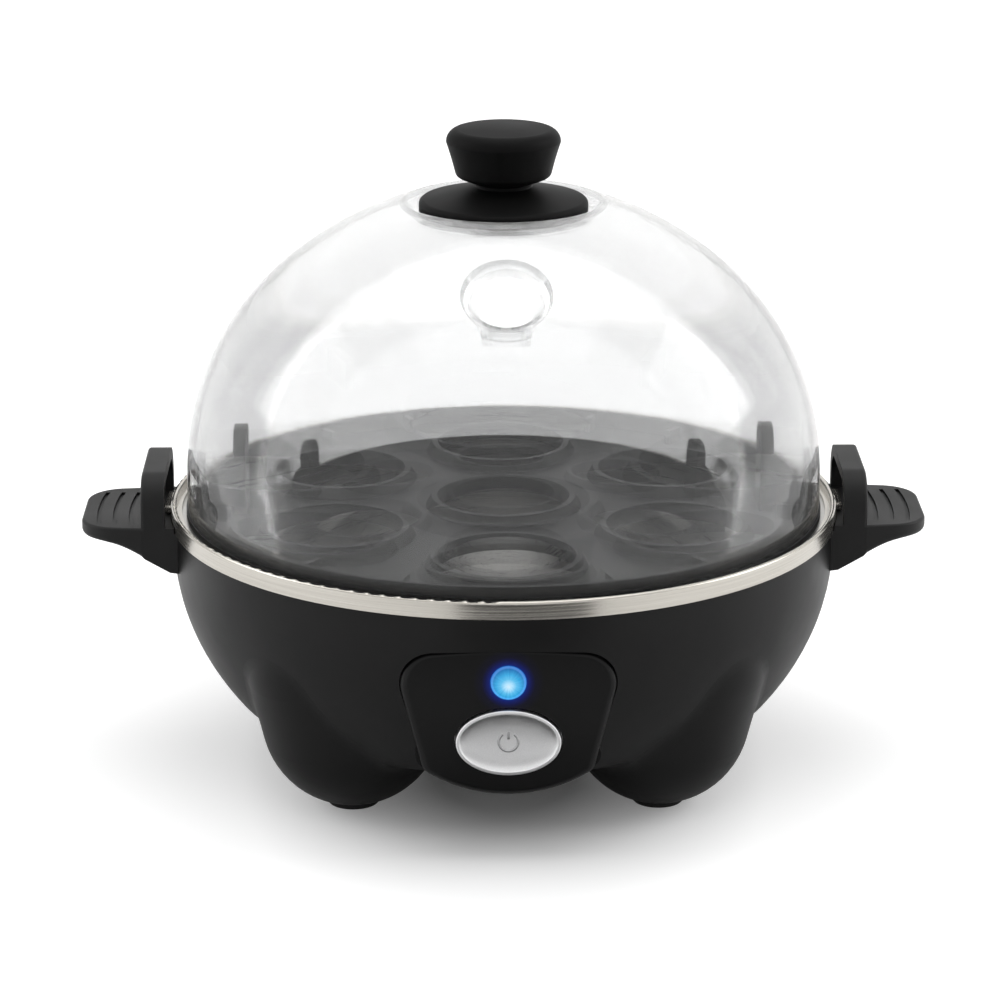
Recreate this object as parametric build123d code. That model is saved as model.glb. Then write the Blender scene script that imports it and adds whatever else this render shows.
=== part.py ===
from build123d import *
import math
import os

# Electric egg cooker: a black bowl on four bulbous feet, a steel water pan under a seven-seat
# egg tray, and a clear dome with a turned knob. Millimetres, +Z up, the button side looks
# along -Y, and the table is at Z = 0 under the middle of the pan.

# Running and seating clearances
SLIP = 0.3                  # between pieces that lift or press past each other
FIT = 0.2                   # between pieces that are assembled once
SCREW_SLACK = 0.1           # round a screw shank, each side

# Rim ring, the bright steel band round the waist
RIM_RADIUS = 80.0
RIM_HEIGHT = 60.0           # underside of the band above the table
RING_HEIGHT = 4.2
RING_SHEET = 0.8
RING_BEAD = 1.3             # width of the rolled lip
RING_LEDGE = 1.8            # flange that holds the pan down, inside the band
TONGUE_WIDTH = 12.0
TONGUE_REACH = 1.2
TONGUE_CORNER = 0.6

# Bowl, an ellipsoid that is widest a little below the ring
BOWL_SETBACK = 0.5          # the band stands this far proud of the bowl
BOWL_SEMI_HEIGHT = 64.2
BOWL_WIDEST_DROP = 5.7      # widest point below the ring
BELLY_DROP = 43.5           # flat underside of the bowl below the ring
BELLY_EDGE = 6.0
HOUSING_WALL = 2.5
RIM_LEDGE = 4.2             # width of the thick ledge that carries the pan
RIM_LEDGE_DEPTH = 2.5

# Feet, four bulbs on the diagonals that lean outwards as they rise
FOOT_RADIUS = 21.5
FOOT_TOP_RADIUS = 20.0
FOOT_LOW_MARGIN = (44.0, 43.0)     # middle of the lower ball inside the ring
FOOT_HIGH_MARGIN = (39.0, 39.0)    # middle of the upper ball inside the ring
FOOT_HIGH_DROP = 22.0       # and below it
FOOT_BLEND = 8.0            # rounding where the bulbs run into the bowl
PAD_RADIUS = 6.0
PAD_HEIGHT = 1.4
PAD_PROUD = 0.4

# Control panel, a flat shield on the chin of the bowl
PANEL_SETBACK = 4.0         # its face behind the foremost point of the ring
PANEL_SHEET = 3.0
PANEL_TOP_DROP = 8.0        # below the ring
PANEL_HEIGHT = 35.4
PANEL_TOP_WIDTH = 52.4
PANEL_LOW_WIDTH = 38.6
PANEL_TOP_SAG = 1.9         # the top corners lie this far below the crown of the edge
PANEL_LOW_SAG = 6.0         # the low corners lie this far above the chin
PANEL_CORNER = 8.0
PANEL_LOW_CORNER = 3.0
PANEL_BEVEL = 1.6
CHIN_WALL = 2.0

# Button, lamp and what is behind them
BUTTON_WIDTH = 23.8
BUTTON_TALL = 15.5
BUTTON_DROP = 30.2          # middle of the button below the ring
BUTTON_PROUD = 1.2
BUTTON_TRAVEL = 2.0
BUTTON_DISH = 0.9
BUTTON_RIM = 0.7
BUTTON_EDGE = 0.3
FLANGE_WIDTH = 1.0
FLANGE_SHEET = 1.2
STEM_RADIUS = 2.0
LENS_RADIUS = 4.0
LENS_FLANGE = 0.7
LENS_FLANGE_SHEET = 1.0
LENS_CAP = 0.9              # rise of its domed face
LENS_ROOF = 2.9             # clear material in front of the lamp
LAMP_ROOM = 0.5             # round the lens flange and the lamp holder
LAMP_DROP = 16.2            # middle of the lamp below the ring
LAMP_RADIUS = 2.5
LAMP_LENGTH = 5.0
LAMP_COLLAR = 0.4
LAMP_COLLAR_SHEET = 1.0
HOLDER_FLOOR = 2.0
BOARD_SHEET = 1.6
BOARD_WIDTH = 44.0
BOARD_DROP = 39.5           # lower edge of the board below the ring
BOARD_TALL = 19.0
BOARD_CORNER = 2.0
BOARD_MARGIN = 1.0          # edge of the board round its posts
BOARD_SETBACK = 14.0        # face of the board behind the back of the panel
SWITCH_SIZE = (12.0, 12.0)
SWITCH_GAP = 1.0            # between the button's travel and the switch body
BUZZER_RADIUS = 4.5
BUZZER_DEPTH = 5.0
BUZZER_HOLE = 1.0

# Handles, a thumb wing and a finger arch on each side
WING_TOP = 1.3              # above the underside of the ring
WING_BLADE = 14.8           # flat part beyond the arch
WING_SINK = 4.0             # root inside the bowl's widest circle
WING_ROOT_HALF = 17.0
WING_TIP_HALF = 15.3
WING_TIP_CORNER = 9.0
WING_EDGE = 1.4
WING_TIP_THICK = 3.6
WING_MID = 7.0              # where the underside is measured, outside the bowl
WING_MID_THICK = 7.0
WING_ROOT_THICK = 11.0
GROOVE_COUNT = 3
GROOVE_STEP = 3.8           # from the tip and from each other
GROOVE_BOW = 0.8
GROOVE_MARGIN = 3.0
GROOVE_WIDTH = 1.0
GROOVE_DEPTH = 0.6
ARCH_ROOM = 0.6             # to the ring
ARCH_THICK = 5.6
ARCH_TOP = 13.3             # above the underside of the ring
ARCH_STRAP = 2.6
ARCH_BEND = 7.5
ARCH_EDGE = 0.8
ARCH_SINK = 2.0

# Pan, gasket and heating parts
GASKET_SHEET = 0.8
GASKET_SETBACK = 0.5        # from the inner edge of the bowl's ledge
PAN_SHEET = 0.8
PAN_EDGE_ROOM = 0.4         # inside the band
PAN_FLANGE = 5.2
PAN_SLOPE = 13.6            # width of the sloping side
PAN_DEPTH = 14.6
PAN_CORNER = 6.0
PAN_BRIM_CORNER = 2.0
SPREADER_MARGIN = 14.0      # inside the pan's floor
SPREADER_EDGE = 0.4
SPREADER_SHEET = 2.0
ELEMENT_MARGIN = 10.0       # its middle line inside the spreader's edge
ELEMENT_WIDTH = 7.0
ELEMENT_TALL = 6.0
ELEMENT_ROUND = 0.8         # share of its half width
ELEMENT_GAP = 34.0          # opening of the horseshoe, degrees
PIN_RADIUS = 1.2
PIN_LENGTH = 7.0
PIN_SINK = 1.0
PIN_TURN = 5.0              # degrees from the ends of the horseshoe
THERMOSTAT_RADIUS = 8.0
THERMOSTAT_TALL = 7.0
THERMOSTAT_LIP = 0.8
THERMOSTAT_CUP = 2.0
BLADE_SIZE = (0.8, 4.8, 7.0)
BLADE_DROP = 3.0            # middle of the blades below the body
BLADE_OFFSET = 4.0
FUSE_RADIUS = 2.2
FUSE_LENGTH = 13.0
FUSE_MARGIN = 16.0          # inside the element's middle line
LEAD_RADIUS = 0.5
LEAD_LENGTH = 3.0           # beyond each end of the fuse
CLIP_SHEET = 0.8
CLIP_WIDTH = 6.0
CLIP_EAR = 4.0

# Bottom cover and cord inlet
COVER_SHEET = 1.5
COVER_LEDGE = 2.5
COVER_MARGIN = 8.0          # between the belly's edge and the cover
COVER_FOOT_MARGIN = 5.2
SLOT_COUNT = 8
SLOT_LENGTH = 9.0
SLOT_WIDTH = 2.4
SLOT_CIRCLE = 16.0
COVER_BOSS_TALL = 6.5
BOSS_RADIUS = 3.6
SCREW_RADIUS = 1.5
SCREW_HEAD = 2.8
SCREW_HEAD_TALL = 1.6
SCREW_SLOT = (0.8, 0.6)     # width and depth
SCREW_BITE = 5.0            # shank inside a post
HOLE_SPARE = 0.5            # a blind hole is this much deeper than its screw
HANDLE_BOSS = 3.2           # flat spot inside the wall behind each handle
HANDLE_SCREW = 10.0
INLET_DROP = 30.0           # middle of the inlet below the ring
INLET_BOSS = 8.5
INLET_SETBACK = 4.0         # its face behind the widest point of the bowl
INLET_DEPTH = 8.0           # from the bowl's side inwards
GROMMET_RADIUS = 5.0
GROMMET_FLANGE = 7.0
GROMMET_LIP = 2.0
GROMMET_CATCH = 2.0
GROMMET_CATCH_RIM = 1.2
INLET_BORE = 3.5

# Egg tray
TRAY_EDGE_ROOM = 1.1        # inside the ring's flange
TRAY_FLANGE = 1.4
TRAY_SHEET = 1.6
TRAY_DROP = 1.4             # plate below the flange
TRAY_RIM = 3.1              # flat rim outside the upstand, under the dome
UPSTAND_SHEET = 1.2
UPSTAND_TALL = 2.6
SEAT_COUNT = 6
SEAT_MARGIN = 7.2           # from the outer collars to the upstand
SEAT_HOLE = 16.0
COLLAR_FOOT = 2.8
COLLAR_TOP = 1.4
COLLAR_TALL = 2.6
TAB_MARGIN = 9.0            # middle of the tab inside the upstand
TAB_SINK = 0.5
TAB_SHOULDER = 1.0
TAB_SHEET = 3.0
TAB_WIDTH = 13.0
TAB_TALL = 18.8             # above the tray's flange
GUSSET_TALL = 13.0
GUSSET_ROOM = 0.5
GUSSET_BULGE = 0.72         # share of its width and height at the middle of the curve
GUSSET_SHEET = 2.2
FIN_TALL = 3.6
FIN_LENGTH = 5.0
FIN_SHEET = 1.4
FIN_TURN = 20.0
FIN_ROOM = 1.0
FIN_SINK = 0.4

# Clear dome, two tangent arcs with a flat seat for the knob and a sunk steam vent
DOME_SETBACK = 0.3          # inside the tray's edge
DOME_WALL = 2.0
DOME_SIDE_ARC = 65.1
DOME_SIDE_SWEEP = 50.6      # degrees up from the widest point
DOME_CROWN_ARC = 88.6
DOME_SKIRT = 7.9            # straight part below the side arc
SEAT_RADIUS = 21.0
SEAT_LIP = 23.4             # crest of the raised edge round the seat
SEAT_DROP = 2.4
LIP_WALL = 0.6              # the lip's wall is thinned by this at its crest
SEAT_WALL = 0.4
LIP_EDGE = 0.7
VENT_RADIUS = 10.5
VENT_FUNNEL = 8.9
VENT_BEAD = 1.0
VENT_REACH = 47.3           # middle of the rim from the dome's axis
VENT_TILT = 52.0            # the rim looks this far up
VENT_THROAT = 4.5
VENT_THROAT_REACH = 44.0
VENT_DEPTH = 7.6
VENT_TUBE = 2.0
VENT_WALL = 1.4
VENT_OVERLAP = 0.5
VENT_SKIN = 0.01            # the hollow starts this far outside the rim

# Knob
KNOB_SKIRT = 20.0
KNOB_SKIRT_EDGE = 2.5
KNOB_SKIRT_CORNER = 1.3
KNOB_CONE_TALL = 5.6
KNOB_NECK = 6.6
KNOB_NECK_TALL = 0.8
KNOB_NECK_CORNER = 0.4
KNOB_HEAD = 13.5
KNOB_HEAD_LOW = 11.2
KNOB_HEAD_CORNER = 1.5
KNOB_HEAD_HOLLOW = 0.1
KNOB_HEAD_TALL = 13.0       # from the top of the neck to the brim
KNOB_UNDERCUT = 1.9         # rise of the head's underside
KNOB_BRIM = 3.0             # rounding of the head's upper edge
KNOB_CROWN = 0.6
KNOB_SCREW_RADIUS = 2.0
KNOB_SCREW_HEAD = 4.0
KNOB_SCREW_HEAD_TALL = 2.4
KNOB_SLOT = (1.0, 0.8)      # width and depth
KNOB_SCREW_LENGTH = 14.0
WASHER_RADIUS = 7.0
WASHER_SHEET = 1.0

# Heights that follow from the sizes above
BAND_INNER = RIM_RADIUS - RING_SHEET
BOWL_RADIUS = RIM_RADIUS - BOWL_SETBACK
BELLY_HEIGHT = RIM_HEIGHT - BELLY_DROP
INLET_HEIGHT = RIM_HEIGHT - INLET_DROP
BOARD_LOW = RIM_HEIGHT - BOARD_DROP
FOOT_LOW = [RIM_RADIUS - margin for margin in FOOT_LOW_MARGIN]
FOOT_HIGH = [RIM_RADIUS - margin for margin in FOOT_HIGH_MARGIN]
BOWL_WIDEST = RIM_HEIGHT - BOWL_WIDEST_DROP
RING_LEDGE_RADIUS = BAND_INNER - RING_LEDGE
RIM_LEDGE_RADIUS = BAND_INNER - RIM_LEDGE
PAN_FLANGE_RADIUS = BAND_INNER - PAN_EDGE_ROOM
PAN_MOUTH = PAN_FLANGE_RADIUS - PAN_FLANGE
PAN_FLOOR_RADIUS = PAN_MOUTH - PAN_SLOPE
SPREADER_RADIUS = PAN_FLOOR_RADIUS - SPREADER_MARGIN
ELEMENT_RADIUS = SPREADER_RADIUS - ELEMENT_MARGIN
FUSE_OFFSET = ELEMENT_RADIUS - FUSE_MARGIN
TRAY_FLANGE_RADIUS = RING_LEDGE_RADIUS - TRAY_EDGE_ROOM
TRAY_UPSTAND = TRAY_FLANGE_RADIUS - TRAY_RIM
TRAY_INNER = TRAY_UPSTAND - UPSTAND_SHEET
SEAT_CIRCLE = TRAY_INNER - SEAT_MARGIN - COLLAR_FOOT - SEAT_HOLE
TAB_RADIUS = TRAY_INNER - TAB_MARGIN
DOME_RADIUS = TRAY_FLANGE_RADIUS - DOME_SETBACK
ARCH_INNER = RIM_RADIUS + ARCH_ROOM
ARCH_OUTER = ARCH_INNER + ARCH_THICK
WING_REACH = ARCH_OUTER + WING_BLADE
PANEL_FRONT = RIM_RADIUS - PANEL_SETBACK
INLET_FACE = BOWL_RADIUS - INLET_SETBACK
GASKET_LOW = RIM_HEIGHT
PAN_LOW = GASKET_LOW + GASKET_SHEET
PAN_TOP = PAN_LOW + PAN_SHEET
PAN_FLOOR = PAN_TOP - PAN_DEPTH
SPREADER_LOW = PAN_FLOOR - PAN_SHEET - SPREADER_SHEET
TRAY_TOP = PAN_TOP + TRAY_FLANGE
TAB_TOP = TRAY_TOP + TAB_TALL
DOME_LOW = TRAY_TOP
PANEL_TOP = RIM_HEIGHT - PANEL_TOP_DROP
PANEL_BACK = PANEL_FRONT - PANEL_SHEET
BUTTON_HEIGHT = RIM_HEIGHT - BUTTON_DROP
LAMP_HEIGHT = RIM_HEIGHT - LAMP_DROP
BOARD_FRONT = PANEL_BACK - BOARD_SETBACK
LAMP_TIP = PANEL_FRONT + LENS_CAP - LENS_ROOF
FAR = 3 * RIM_RADIUS        # longer than anything that is cut


def outline(*edges):
    """A flat face from edges drawn as (radius, height) or (across, height)."""
    return make_face(Curve() + list(edges))


def turned(face):
    """Turn a (radius, height) outline round the upright axis."""
    return revolve(Plane.XZ * face, Axis.Z)


def corners(*points):
    """A face with straight sides through the points."""
    return make_face(Polyline(*points, close=True))


def slab_face(half, low, high):
    """A rectangle centred across, from one height to another."""
    return corners((-half, low), (half, low), (half, high), (-half, high))


def upright(radius, low, high, x=0.0, y=0.0):
    """A round post from one height to another."""
    return Pos(x, y, low) * Cylinder(radius, high - low, align=(Align.CENTER, Align.CENTER, Align.MIN))


def tube(outer, inner, low, high, x=0.0, y=0.0):
    """A round sleeve from one height to another."""
    return upright(outer, low, high, x, y) - upright(inner, low, high, x, y)


def along(plane, face, start, stop):
    """Push a face from one distance to another along the plane's normal."""
    return extrude(plane.offset(start) * face, stop - start)


FRONT = Plane(origin=(0, 0, 0), x_dir=(1, 0, 0), z_dir=(0, -1, 0))
REAR = Plane(origin=(0, 0, 0), x_dir=(-1, 0, 0), z_dir=(0, 1, 0))


def side_plane(side):
    """Plane across the bowl that looks to the right for side 1 and to the left for side -1."""
    return Plane(origin=(0, 0, 0), x_dir=(0, side, 0), z_dir=(side, 0, 0))


def bowl_arc(inset, low, high):
    """Arc of the bowl's side, moved in by a wall."""
    semi_radius = BOWL_RADIUS - inset
    semi_height = BOWL_SEMI_HEIGHT - inset
    start = math.degrees(math.asin((low - BOWL_WIDEST) / semi_height))
    stop = math.degrees(math.asin((high - BOWL_WIDEST) / semi_height))
    return EllipticalCenterArc((0, BOWL_WIDEST), semi_radius, semi_height, start, arc_size=stop - start)


def bowl_radius(height, inset=0.0):
    """Radius of the bowl's side at a height."""
    share = (height - BOWL_WIDEST) / (BOWL_SEMI_HEIGHT - inset)
    return (BOWL_RADIUS - inset) * math.sqrt(1 - share * share)


def bowl_form(inset, low, high, edge):
    """Solid bowl between two heights with a soft edge at its flat bottom."""
    side = bowl_arc(inset, low, high)
    face = outline(side, Line(side @ 1, (0, high)), Line((0, high), (0, low)), Line((0, low), side @ 0))
    corner = face.vertices().sort_by(Axis.Y)[:2].sort_by(Axis.X)[-1]
    return turned(fillet(corner, edge))


def foot_form(inset, x_side, y_side):
    """Bulb of one foot: two balls and the cone that touches both, moved in by a wall."""
    low_radius = FOOT_RADIUS - inset
    high_radius = FOOT_TOP_RADIUS - inset
    low = Vector(FOOT_LOW[0] * x_side, FOOT_LOW[1] * y_side, FOOT_RADIUS + PAD_PROUD)
    high = Vector(FOOT_HIGH[0] * x_side, FOOT_HIGH[1] * y_side, RIM_HEIGHT - FOOT_HIGH_DROP)
    span = (high - low).length
    slope = math.acos((low_radius - high_radius) / span)
    low_touch = (low_radius * math.sin(slope), low_radius * math.cos(slope))
    high_touch = (high_radius * math.sin(slope), span + high_radius * math.cos(slope))
    bottom = RadiusArc((0, -low_radius), low_touch, -low_radius)
    top = RadiusArc(high_touch, (0, span + high_radius), -high_radius)
    face = outline(bottom, Line(low_touch, high_touch), top, Line(top @ 1, bottom @ 0))
    return Plane(origin=low, z_dir=high - low) * turned(face)


def feet_form(inset):
    """All four bulbs."""
    bulbs = [foot_form(inset, x, y) for x in (1, -1) for y in (1, -1)]
    return bulbs[0] + bulbs[1:]


def panel_outline(grow=0.0):
    """The shield in (across, height), grown by a margin."""
    low = PANEL_TOP - PANEL_HEIGHT
    top_half = PANEL_TOP_WIDTH / 2
    low_half = PANEL_LOW_WIDTH / 2
    right_top = (top_half, PANEL_TOP - PANEL_TOP_SAG)
    left_top = (-top_half, PANEL_TOP - PANEL_TOP_SAG)
    right_low = (low_half, low + PANEL_LOW_SAG)
    left_low = (-low_half, low + PANEL_LOW_SAG)
    face = outline(
        ThreePointArc(left_top, (0, PANEL_TOP), right_top),
        Line(right_top, right_low),
        ThreePointArc(right_low, (0, low), left_low),
        Line(left_low, left_top),
    )
    tops = face.vertices().sort_by(Axis.Y)[-2:]
    face = fillet(tops, PANEL_CORNER)
    lows = face.vertices().sort_by(Axis.Y)[:2]
    face = fillet(lows, PANEL_LOW_CORNER)
    return offset(face, grow) if grow else face


def button_outline(grow=0.0):
    """The button's ellipse in (across, height), grown by a margin."""
    return Pos(0, BUTTON_HEIGHT) * Ellipse(BUTTON_WIDTH / 2 + grow, BUTTON_TALL / 2 + grow)


def lamp_outline(radius):
    """A circle round the lamp's axis."""
    return Pos(0, LAMP_HEIGHT) * Circle(radius)


def board_corners():
    """Places of the four screws that hold the control board, as (across, height)."""
    edge = BOSS_RADIUS + BOARD_MARGIN
    across = BOARD_WIDTH / 2 - edge
    low = BOARD_LOW + edge
    high = BOARD_LOW + BOARD_TALL - edge
    return [(x, z) for x in (-across, across) for z in (low, high)]


def cover_reach():
    """Distance of the bottom cover's ends from the middle."""
    return bowl_radius(BELLY_HEIGHT) - COVER_MARGIN


def cover_screw_places():
    """Places of the four screws that hold the bottom cover, between the feet."""
    reach = cover_reach() - COVER_LEDGE - BOSS_RADIUS / 2
    return [(reach, 0), (0, reach), (-reach, 0), (0, -reach)]


def handle_screw_places():
    """Places of the two screws of each handle, as (along Y, height)."""
    height = RIM_HEIGHT + WING_TOP - WING_ROOT_THICK / 2
    return [(y, height) for y in (-WING_ROOT_HALF / 2, WING_ROOT_HALF / 2)]


def cover_outline(grow=0.0):
    """Clover outline of the bottom cover, which passes between the feet."""
    face = Circle(cover_reach() + grow)
    for x in (1, -1):
        for y in (1, -1):
            foot = Circle(FOOT_RADIUS + COVER_FOOT_MARGIN - grow)
            face -= Pos(FOOT_LOW[0] * x, FOOT_LOW[1] * y) * foot
    return face


def body_form():
    """Solid bowl with its four feet, rounded where the bulbs run into it."""
    body = bowl_form(0, BELLY_HEIGHT, RIM_HEIGHT, BELLY_EDGE) + feet_form(0)
    return fillet(body.edges().filter_by(GeomType.BSPLINE), FOOT_BLEND)


def base_housing():
    """The moulded bowl with its feet and chin, open at the top and under the cover."""
    chin_plug = along(FRONT, panel_outline(-SLIP), 0, PANEL_BACK)
    outer = body_form() + chin_plug

    chin_room = along(FRONT, panel_outline(-SLIP - CHIN_WALL), 0, PANEL_BACK - CHIN_WALL)
    ledge_low = RIM_HEIGHT - RIM_LEDGE_DEPTH
    bowl_room = bowl_form(HOUSING_WALL, BELLY_HEIGHT + HOUSING_WALL, ledge_low, BELLY_EDGE - HOUSING_WALL)
    chin_wall = along(FRONT, panel_outline(CHIN_WALL), PANEL_BACK - CHIN_WALL, FAR)
    mouth = upright(RIM_LEDGE_RADIUS, ledge_low, RIM_HEIGHT)
    room = bowl_room - chin_wall + feet_form(HOUSING_WALL) + chin_room + mouth
    housing = outer - room

    pocket = along(FRONT, panel_outline(SLIP), PANEL_BACK, FAR)
    button_way = along(FRONT, button_outline(FLANGE_WIDTH + SLIP), 0, PANEL_BACK)
    lamp_way = along(FRONT, lamp_outline(LENS_RADIUS + LENS_FLANGE + LAMP_ROOM), 0, PANEL_BACK)
    housing = housing - [pocket, button_way, lamp_way]

    rebate = extrude(Pos(0, 0, BELLY_HEIGHT) * cover_outline(FIT), COVER_SHEET)
    hatch = extrude(Pos(0, 0, BELLY_HEIGHT) * cover_outline(-COVER_LEDGE), HOUSING_WALL)
    housing = housing - [rebate, hatch] + housing_bosses()
    return housing - housing_holes()


def housing_bosses():
    """Posts inside the housing for the board, the cover, the handles and the cord inlet."""
    inside = bowl_form(HOUSING_WALL / 2, BELLY_HEIGHT + COVER_SHEET, RIM_HEIGHT, BELLY_EDGE)
    posts = []
    for x, z in board_corners():
        face = Pos(x, z) * Circle(BOSS_RADIUS)
        posts.append(along(FRONT, face, BOARD_FRONT, PANEL_BACK - CHIN_WALL / 2))
    floor = BELLY_HEIGHT + COVER_SHEET
    for x, y in cover_screw_places():
        posts.append(upright(BOSS_RADIUS, floor, floor + COVER_BOSS_TALL, x, y))
    for side in (1, -1):
        for y, z in handle_screw_places():
            face = Pos(side * y, z) * Circle(BOSS_RADIUS)
            post = along(side_plane(side), face, bowl_radius(z) - HOUSING_WALL - HANDLE_BOSS, BOWL_RADIUS)
            posts.append(post & inside)
    wall_face = bowl_radius(INLET_HEIGHT) - INLET_DEPTH
    posts.append(along(REAR, Pos(0, INLET_HEIGHT) * Circle(INLET_BOSS), wall_face, INLET_FACE))
    return posts


def housing_holes():
    """Screw holes, pad recesses and the cord inlet of the housing."""
    cuts = []
    floor = BELLY_HEIGHT + COVER_SHEET
    for x, z in board_corners():
        face = Pos(x, z) * Circle(SCREW_RADIUS + SCREW_SLACK)
        cuts.append(along(FRONT, face, BOARD_FRONT, BOARD_FRONT + SCREW_BITE + HOLE_SPARE))
    for x, y in cover_screw_places():
        cuts.append(upright(SCREW_RADIUS + SCREW_SLACK, floor, floor + SCREW_BITE + HOLE_SPARE, x, y))
    for side in (1, -1):
        for y, z in handle_screw_places():
            face = Pos(side * y, z) * Circle(SCREW_RADIUS + SCREW_SLACK)
            cuts.append(along(side_plane(side), face, 0, FAR))
    for x in (1, -1):
        for y in (1, -1):
            cuts.append(upright(PAD_RADIUS + FIT, 0, PAD_HEIGHT, FOOT_LOW[0] * x, FOOT_LOW[1] * y))
    cuts.append(along(REAR, Pos(0, INLET_HEIGHT) * Circle(GROMMET_RADIUS + FIT), 0, FAR))
    cuts.append(along(REAR, Pos(0, INLET_HEIGHT) * Circle(INLET_BOSS), INLET_FACE, FAR))
    return cuts


def rubber_feet():
    """Four soft pads, sunk in the feet and just proud of them."""
    places = [(FOOT_LOW[0] * x, FOOT_LOW[1] * y) for x in (1, -1) for y in (1, -1)]
    pads = []
    for x, y in places:
        pad = upright(PAD_RADIUS, 0, PAD_HEIGHT, x, y)
        pads.append(chamfer(pad.edges().group_by(Axis.Z)[0], PAD_PROUD / 2))
    return Compound(pads)


def bottom_cover():
    """Clover plate that closes the belly, with cooling slots round its middle."""
    plate = extrude(Pos(0, 0, BELLY_HEIGHT) * cover_outline(), COVER_SHEET)
    slot = extrude(Pos(0, 0, BELLY_HEIGHT) * SlotOverall(SLOT_LENGTH, SLOT_WIDTH), COVER_SHEET)
    turn = 360 / SLOT_COUNT
    slots = [Rot(0, 0, turn * (i + 0.5)) * Pos(SLOT_CIRCLE, 0, 0) * slot for i in range(SLOT_COUNT)]
    holes = [upright(SCREW_RADIUS + SCREW_SLACK, 0, RIM_HEIGHT, x, y) for x, y in cover_screw_places()]
    return plate - slots - holes


def screw(length):
    """A pan-head screw whose head rests on Z = 0 and whose shank goes up."""
    head = upright(SCREW_HEAD, -SCREW_HEAD_TALL, 0)
    head = fillet(head.edges().group_by(Axis.Z)[0], SCREW_HEAD_TALL / 2)
    width, depth = SCREW_SLOT
    slot = Pos(0, 0, -SCREW_HEAD_TALL) * Box(2 * (SCREW_HEAD - width), width, 2 * depth)
    return head + upright(SCREW_RADIUS, 0, length) - slot


def cover_screws():
    """Four screws up through the bottom cover."""
    one = screw(COVER_SHEET + SCREW_BITE)
    return Compound([Pos(x, y, BELLY_HEIGHT) * one for x, y in cover_screw_places()])


def board_screws():
    """Four screws through the control board into its posts, towards the front."""
    back = BOARD_FRONT - BOARD_SHEET
    one = screw(BOARD_SHEET + SCREW_BITE)
    return Compound([FRONT.offset(back) * Pos(x, z, 0) * one for x, z in board_corners()])


def handle_screws():
    """Two screws from inside the bowl into each handle."""
    screws = []
    for side in (1, -1):
        for y, z in handle_screw_places():
            seat = bowl_radius(z) - HOUSING_WALL - HANDLE_BOSS
            screws.append(side_plane(side).offset(seat) * Pos(side * y, z, 0) * screw(HANDLE_SCREW))
    return Compound(screws)


def control_panel():
    """Flat shield with a bevelled edge, a lamp hole and an oval hole for the button."""
    plate = along(FRONT, panel_outline(), PANEL_BACK, PANEL_FRONT)
    plate = fillet(plate.faces().sort_by(Axis.Y)[0].edges(), PANEL_BEVEL)
    button_hole = along(FRONT, button_outline(SLIP), 0, FAR)
    lamp_hole = along(FRONT, lamp_outline(LENS_RADIUS + FIT / 2), 0, FAR)
    return plate - [button_hole, lamp_hole]


def power_button():
    """Oval button with a dished face, a thin rim and a flange behind the panel."""
    front = PANEL_FRONT + BUTTON_PROUD
    flange_front = PANEL_BACK - SLIP
    cap = along(FRONT, button_outline(), flange_front, front)
    cap = fillet(cap.faces().sort_by(Axis.Y)[0].edges(), BUTTON_EDGE)
    flange = along(FRONT, button_outline(FLANGE_WIDTH), flange_front - FLANGE_SHEET, flange_front)
    half_width = BUTTON_WIDTH / 2 - BUTTON_RIM
    half_tall = BUTTON_TALL / 2 - BUTTON_RIM
    dish = scale(Sphere(1), by=(half_width, BUTTON_DISH, half_tall))
    return cap + flange - Pos(0, -front, BUTTON_HEIGHT) * dish


def switch_plunger():
    """Round stem behind the button that reaches into the switch."""
    back = PANEL_BACK - SLIP - FLANGE_SHEET
    tip = BOARD_FRONT + BUTTON_TRAVEL + SWITCH_GAP
    return along(FRONT, Pos(0, BUTTON_HEIGHT) * Circle(STEM_RADIUS), tip, back)


def push_switch():
    """Latching switch body on the board with a bore for the stem."""
    front = PANEL_BACK - SLIP - FLANGE_SHEET - BUTTON_TRAVEL - SWITCH_GAP
    body = along(FRONT, Pos(0, BUTTON_HEIGHT) * Rectangle(*SWITCH_SIZE), BOARD_FRONT, front)
    bore = along(FRONT, Pos(0, BUTTON_HEIGHT) * Circle(STEM_RADIUS + SLIP), BOARD_FRONT + SWITCH_GAP, FAR)
    return body - bore


def control_board():
    """Printed board behind the chin, on four posts."""
    middle = BOARD_LOW + BOARD_TALL / 2
    face = Pos(0, middle) * RectangleRounded(BOARD_WIDTH, BOARD_TALL, BOARD_CORNER)
    for x, z in board_corners():
        face -= Pos(x, z) * Circle(SCREW_RADIUS + SCREW_SLACK)
    return along(FRONT, face, BOARD_FRONT - BOARD_SHEET, BOARD_FRONT)


def buzzer():
    """Round sounder on the back of the board."""
    back = BOARD_FRONT - BOARD_SHEET
    low = back - BUZZER_DEPTH
    body = along(FRONT, Pos(0, BUTTON_HEIGHT) * Circle(BUZZER_RADIUS), low, back)
    return body - along(FRONT, Pos(0, BUTTON_HEIGHT) * Circle(BUZZER_HOLE), low, low + BUZZER_HOLE)


def indicator_lens():
    """Domed lens pushed through the panel from behind."""
    shank = along(FRONT, lamp_outline(LENS_RADIUS), PANEL_BACK, PANEL_FRONT)
    ball = (LENS_RADIUS**2 + LENS_CAP**2) / (2 * LENS_CAP)
    dome = FRONT.offset(PANEL_FRONT + LENS_CAP - ball) * Pos(0, LAMP_HEIGHT, 0) * Sphere(ball)
    cap = dome & along(FRONT, lamp_outline(LENS_RADIUS), PANEL_FRONT, PANEL_FRONT + 2 * LENS_CAP)
    flange = along(FRONT, lamp_outline(LENS_RADIUS + LENS_FLANGE), PANEL_BACK - LENS_FLANGE_SHEET, PANEL_BACK)
    bore = along(FRONT, lamp_outline(LAMP_RADIUS + FIT), 0, LAMP_TIP)
    return shank + flange + cap - bore


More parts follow.
